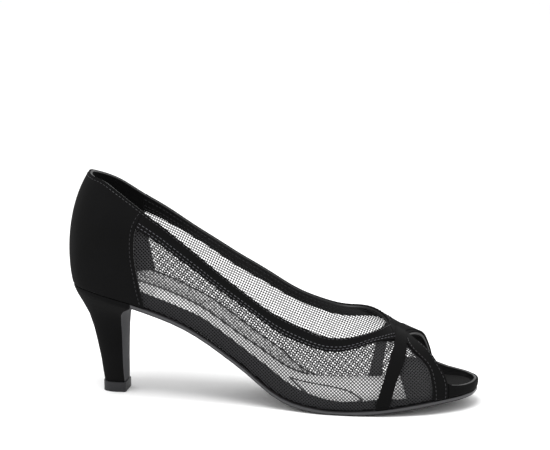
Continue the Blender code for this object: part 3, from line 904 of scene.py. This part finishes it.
class PUMP_OT_margins(bpy.types.Operator):
    """Makes the dark margin along the foot and the light lining inside it"""
    bl_idname = "pump.margins"
    bl_label = "Margins and lining"

    def execute(self, context):
        back = woven_material("Black backing cloth", linear("#0e0e0e"), linear("#1e1e1f"))
        grey = flecked_material(
            "Light grey flecked lining", linear("#585858"), tuple(colours().lining), 0.9 * MM)
        edging = nylon_material("Black edge binding", linear("#0c0c0c"))
        outer = MESH_DEPTH + NETTING * 0.62
        middle = MESH_DEPTH + NETTING * 0.95
        inner = middle + 0.30 * MM
        for side, label in SIDES.items():
            table = np.array(MARGIN[side])
            low = RIBS[side][COUNTER_FRONT][0] - 0.012
            stations = np.linspace(low, RIBS[side][-1][0] - NET_UNDER_LEG, 160)
            top = np.interp(stations, table[:, 0], table[:, 1])
            settle(new_piece(
                "margin_" + label, *strip(side, stations, top, outer, middle), back),
                "netting", "upper")
            stations = np.linspace(table[0, 0], LINED_TO[side], 140)
            top = np.interp(stations, table[:, 0], table[:, 1]) + LINED_OVER
            settle(new_piece(
                "lining_" + label, *strip(side, stations, top, middle + 0.05 * MM, inner), grey),
                "lining", "upper")
            bound = chains("lining_edge_" + label, [
                under_skin(stations, top - LINED_OVER / 2, side, inner)])
            thread(bound, 0.42 * MM, edging)
            settle(bound, "lining", "upper")
        return {"FINISHED"}


def strap_edge(lateral_rib, medial_rib, ridge, widen, places):
    """Stations of one edge of the strap that crosses on top, from foot to foot.

    places runs from 1 at the lateral sole edge over 0 on the ridge to -1 at the medial."""
    heights = np.linspace(0.0, LINES[BAND_LINE], 12)
    lateral = rib_line(RIBS[-1][lateral_rib], heights)
    medial = rib_line(RIBS[1][medial_rib], heights)[::-1]
    place = np.concatenate([lateral[:, 1], [0.0], -medial[:, 1]])
    station = np.concatenate([lateral[:, 0] + widen, [ridge], medial[:, 0]])
    return smooth(-place, station, -places)


def crossing_strap():
    """Closed strip of the upper strap, a little proud of the other suede."""
    places = np.concatenate([np.linspace(0.97, 0.3, 50), np.linspace(0.29, -0.29, 50),
                             np.linspace(-0.3, -0.97, 50)])
    rear, front = (
        strap_edge(REAR_LEG[k], FRONT_LEG[k], STRAP_RIDGE[k], widen, places)
        for k, widen in ((0, -STRAP_WIDEN), (1, STRAP_WIDEN)))
    rows = []
    for depth in (-STRAP_PROUD, 0.3 * MM):
        for t in np.linspace(0.0, 1.0, 7):
            rows.append(np.array([
                under_skin(np.array([s]), np.array([abs(w)]), -1 if w > 0 else 1, depth)[0]
                for s, w in zip(rear + (front - rear) * t, places)]))
    return slab(rows, True)


class PUMP_OT_overlays(bpy.types.Operator):
    """Makes the suede counter, collar bands, crossed straps and toe cap with facings"""
    bl_idname = "pump.overlays"
    bl_label = "Suede overlays"

    def execute(self, context):
        grid = Grid()
        suede = suede_material("Black suede", tuple(colours().suede))
        satin = moulded_material(
            "Black satin facing", linear("#0d0d0d"), linear("#141415"), 0.34, 0.6 * MM, 0.18)
        for name in OVERLAYS:
            item = new_piece(name + "_suede", *sheet(grid, {name}, 0.0, SUEDE), suede)
            soften(item, sizes().edge_round)
            settle(item, "suede", name)
        facing = new_piece("facing", *sheet(
            grid, set(OVERLAYS), SUEDE + 0.1 * MM, WALL_DEPTH), satin)
        soften(facing, sizes().edge_round)
        settle(facing, "suede", "upper")
        lining = new_piece("counter_lining", *sheet(
            grid, {"counter"}, WALL_DEPTH + 0.02 * MM, WALL_DEPTH + 0.24 * MM), suede)
        settle(lining, "suede", "upper")
        strap = new_piece("crossing_strap", *crossing_strap(), suede)
        soften(strap, sizes().edge_round)
        settle(strap, "suede")
        return {"FINISHED"}


def row_line(side, height, start, stop, lift, count=260):
    """A stitch row along a side at a rib height, between two shares of the cells."""
    columns = rib_columns(side, np.array([height, height]), 8)
    line = np.array([grid[0] for grid, piece in columns])
    place = np.linspace(start * (len(line) - 1), stop * (len(line) - 1), count)
    station = np.interp(place, np.arange(len(line)), line[:, 0])
    level = np.interp(place, np.arange(len(line)), line[:, 1])
    return under_skin(station, level, side, -lift)


def rib_row(side, rib, shift, low, high, lift, count=60):
    """A stitch row up a rib, shifted in station, between two heights."""
    heights = np.linspace(low, high, count)
    line = rib_line(RIBS[side][rib], heights)
    return under_skin(line[:, 0] + shift, line[:, 1], side, -lift)


class PUMP_OT_stitches(bpy.types.Operator):
    """Sews the rows of stitches along the collar, counter, straps and toe"""
    bl_idname = "pump.stitches"
    bl_label = "Stitches"

    def execute(self, context):
        grey = nylon_material("Grey sewing thread", tuple(colours().stitch))
        dark = nylon_material("Dark sewing thread", linear("#262628"))
        lift = THREAD_LIFT
        inside = -(WALL_DEPTH + THREAD_LIFT)
        band_rows, other_rows = [], []
        for side in (-1, 1):
            cells = [row[CELLS] for row in RIBS[side]]
            start = sum(cells[:COUNTER_FRONT]) / sum(cells) + 0.004
            stop = sum(cells[:REAR_LEG[0]]) / sum(cells)
            band_rows += [row_line(side, height, start, stop, lift) for height in BAND_ROWS]
            other_rows += [
                row_line(side, height, start, stop, inside)
                for height in (*BAND_ROWS, BINDING_ROW)]
            other_rows += [
                row_line(side, COLLAR_ROW, 0.004, stop, lift),
                rib_row(side, COUNTER_FRONT, COUNTER_SHIFT, 0.04, 0.93, lift),
                rib_row(side, FRONT_LEG[0], LEG_SHIFT, 0.03, 0.85, lift),
                rib_row(side, FRONT_LEG[1], -LEG_SHIFT, 0.03, 0.85, lift)]
        for name, rows, yarn in (
                ("stitches_bands", band_rows, grey), ("stitches_edges", other_rows, dark)):
            item = chains(name, rows)
            apply_tree(item, stitch_tree(), {
                "Spacing": sizes().stitch_spacing, "Stitch": sizes().stitch_length,
                "Radius": STITCH_RADIUS, "Material": yarn})
            settle(item, "suede")
        return {"FINISHED"}


def edge_inside(stations, side, reach):
    """The last's edge moved inward in plan."""
    points = foot(stations, side)
    step = 0.002
    along = (foot(np.clip(stations + step, 0, 1), side)
             - foot(np.clip(stations - step, 0, 1), side))[:, :2]
    along /= np.linalg.norm(along, axis=1)[:, None]
    outward_plan = np.stack([-along[:, 1], along[:, 0]], axis=1) * side
    points[:, :2] -= outward_plan * reach
    return points


def bed(lateral_stations, medial_stations, reach, low, high, shares=(0.0, 1.0), across=14):
    """Closed slab that follows the last's bottom, between two heights over its edge.

    shares says which part of the width it covers, from 0 at the lateral edge to 1 at the
    medial edge; each share may be an array along the stations."""
    lateral = edge_inside(lateral_stations, -1, reach)
    medial = edge_inside(medial_stations, 1, reach)
    rows = []
    for lift in (high, low):
        for k in range(across + 1):
            t = shares[0] + (shares[1] - shares[0]) * k / across
            t = np.broadcast_to(t, len(lateral))[:, None]
            rows.append(lateral * (1 - t) + medial * t + np.array([0.0, 0.0, lift]))
    return slab(rows, False)


class PUMP_OT_insole(bpy.types.Operator):
    """Makes the sock over the insole, its dark toe part, ball pad, bare label place, dark lines
    round the pad and a painted shadow line along the medial joint
    """
    bl_idname = "pump.insole"
    bl_label = "Insole"

    def execute(self, context):
        sock = moulded_material(
            "Light grey smooth sock", linear("#d8d8d8"), tuple(colours().lining), 0.35,
            1.2 * MM, 0.4)
        pale = moulded_material(
            "Pale bare label", linear("#ffffff"), linear("#ffffff"), 0.4, 1.0 * MM, 0.5)
        black = woven_material("Black toe sock cloth", linear("#0c0c0c"), linear("#141414"))
        edging = nylon_material("Black pad lines and painted joint shadow", linear("#0c0c0c"))
        reach = WALL_DEPTH + INSOLE_ROOM
        top = INSOLE_THICK
        share = np.linspace(0.0, 1.0, 110)
        stations = INSOLE_START + (1.0 - INSOLE_START) * (1.0 - (1.0 - share) ** 1.5)
        settle(new_piece("insole_sock", *bed(stations, stations, reach, 0.0, top), sock),
               "lining", "insole")
        toe = new_piece("toe_sock", *bed(
            *(np.linspace(TOE_SOCK[side], TOE_SOCK_END, 50) for side in SIDES), reach,
            top + 0.02 * MM, top + 0.35 * MM), black)
        settle(toe, "lining", "insole")
        run = np.linspace(*LABEL_RUN, 30)
        label = new_piece("label_place", *bed(
            run, run, reach, top + 0.02 * MM, top + 0.22 * MM,
            (0.12, np.linspace(0.90, 0.74, 30))), pale)
        settle(label, "lining")
        spots = np.linspace(PAD_STATIONS[0], PAD_STATIONS[-1], 60)
        front = smooth(np.array(PAD_STATIONS), np.array(PAD_FRONT), spots)
        rear = smooth(np.array(PAD_STATIONS), np.array(PAD_REAR), spots)
        pad = new_piece("ball_pad", *bed(
            spots, spots, reach, top + 0.02 * MM, top + 0.3 * MM, (rear, front)), sock)
        settle(pad, "lining")
        # The dark cord along the sock's medial edge is a painted shadow in the joint of sock and
        # lining; the cords round the ball pad are its dark outline
        edge = np.linspace(*JOINT_SHADOW_RUN, 120)
        pad_lines_and_shadow = chains("sock_pad_lines_and_joint_shadow", [
            self.on_sock(where, place, reach, top + 0.12 * MM) for where, place in (
                (spots, front), (spots, rear), (edge, np.full(len(edge), 0.995)))])
        thread(pad_lines_and_shadow, 0.75 * MM, edging)
        settle(pad_lines_and_shadow, "lining")
        return {"FINISHED"}

    @staticmethod
    def on_sock(stations, share, reach, lift):
        lateral = edge_inside(stations, -1, reach)
        medial = edge_inside(stations, 1, reach)
        points = lateral * (1 - share)[:, None] + medial * share[:, None]
        points[:, 2] += lift
        return points


class PUMP_OT_sole_and_heel(bpy.types.Operator):
    """Dresses the outsole, the covered heel and its rubber tip, with a painted highlight on the
    sole's side faces and a painted floor reflection on the heel's breast
    """
    bl_idname = "pump.sole_and_heel"
    bl_label = "Sole and heel"

    def execute(self, context):
        rubber = moulded_material(
            "Dark grey moulded rubber", linear("#1d1c1d"), linear("#2a292b"), 0.5, 0.5 * MM, 0.15)
        tip = moulded_material(
            "Dark rubber tip", linear("#202022"), linear("#29292b"), 0.5, 0.4 * MM, 0.2)
        suede = suede_material("Black suede heel cover", tuple(colours().suede))
        # Mid grey on the heel's forward-facing breast faces is a painted reflection of the white
        # floor on the black cover
        breast_reflection = moulded_material(
            "Heel breast with painted reflection", linear("#464648"), linear("#525254"), 0.75, 0.6 * MM, 0.05)
        # Lighter grey on the sole's side faces is a painted highlight, standing in for the shine
        # along a glossy sole edge
        edge_highlight = moulded_material(
            "Sole side with painted highlight", linear("#363638"), linear("#404042"), 0.3, 0.8 * MM, 0.3)
        sole = dressed_copy("outsole", "outsole_rubber", rubber, 0.45 * MM)
        sole.data.materials.append(edge_highlight)
        for face in sole.data.polygons:
            if abs(face.normal.z) < EDGE_SLANT:
                face.material_index = 1
        settle(sole, "sole", "outsole")
        heel = dressed_copy("heel", "heel_suede", suede, 0.4 * MM)
        heel.data.materials.append(breast_reflection)
        for face in heel.data.polygons:
            if face.normal.x > BREAST_SLANT:
                face.material_index = 1
        settle(heel, "heel_cover", "heel")
        settle(dressed_copy("top_piece", "tip_rubber", tip, 0.3 * MM), "top_piece", "top_piece")
        return {"FINISHED"}


class PUMP_OT_stage(bpy.types.Operator):
    """Sets the pale floor, the soft light and the camera"""
    bl_idname = "pump.stage"
    bl_label = "Stage"

    def execute(self, context):
        scene = context.scene
        white = surface("Matt white sweep", (0.93, 0.93, 0.93, 1.0), 0.95)[0]
        half = 3.0
        floor = new_piece("floor", [
            (-half, -half, 0.0), (half, -half, 0.0), (half, half, 0.0), (-half, half, 0.0)],
            [[0, 1, 2, 3]], white)
        world = bpy.data.worlds.new("soft white studio")
        world.use_nodes = True
        sky = world.node_tree.nodes["Background"]
        sky.inputs["Color"].default_value = (1.0, 1.0, 1.0, 1.0)
        sky.inputs["Strength"].default_value = 1.06
        scene.world = world
        lamp = bpy.data.lights.new("soft box above", "AREA")
        lamp.energy = 13.0
        lamp.size = 0.7
        above = placed("soft box above", lamp)
        above.location = (-0.1, -0.3, 1.2)
        above.rotation_euler = (math.radians(14), math.radians(-5), 0.0)
        back = np.array([
            math.sin(AZIMUTH) * math.cos(ELEVATION), -math.cos(AZIMUTH) * math.cos(ELEVATION),
            math.sin(ELEVATION)])
        camera = bpy.data.cameras.new("camera")
        camera.lens = LENS
        camera.sensor_width = SENSOR
        camera.shift_y = LOWERED
        camera.clip_start = 0.05
        view = placed("camera", camera)
        view.location = np.array(AIM) + np.array([*SHIFT, 0.0]) + back * RANGE
        view.rotation_euler = (math.pi / 2 - ELEVATION, 0.0, AZIMUTH)
        scene.camera = view
        scene.view_settings.view_transform = "Standard"
        return {"FINISHED"}


class PUMP_PT_panel(bpy.types.Panel):
    """Lists the pieces of the pump"""
    bl_idname = "PUMP_PT_panel"
    bl_label = "Peep toe pump"
    bl_space_type = "VIEW_3D"
    bl_region_type = "UI"
    bl_category = "Pump"

    def draw(self, context):
        layout = self.layout
        for group in (context.scene.pump_sizes, context.scene.pump_colours):
            for name in group.__annotations__:
                layout.prop(group, name)
        for operator in OPERATORS:
            layout.operator(operator.bl_idname)


OPERATORS = (
    PUMP_OT_netting, PUMP_OT_margins, PUMP_OT_overlays, PUMP_OT_stitches, PUMP_OT_insole,
    PUMP_OT_sole_and_heel, PUMP_OT_stage)
CLASSES = (PumpSizes, PumpColours, *OPERATORS, PUMP_PT_panel)


def register():
    for item in CLASSES:
        bpy.utils.register_class(item)
    bpy.types.Scene.pump_sizes = bpy.props.PointerProperty(type=PumpSizes)
    bpy.types.Scene.pump_colours = bpy.props.PointerProperty(type=PumpColours)


def unregister():
    del bpy.types.Scene.pump_sizes
    del bpy.types.Scene.pump_colours
    for item in reversed(CLASSES):
        bpy.utils.unregister_class(item)


def main():
    register()
    for operator in OPERATORS:
        name = operator.bl_idname.split(".")[1]
        getattr(bpy.ops.pump, name)()


if __name__ == "__main__":
    main()
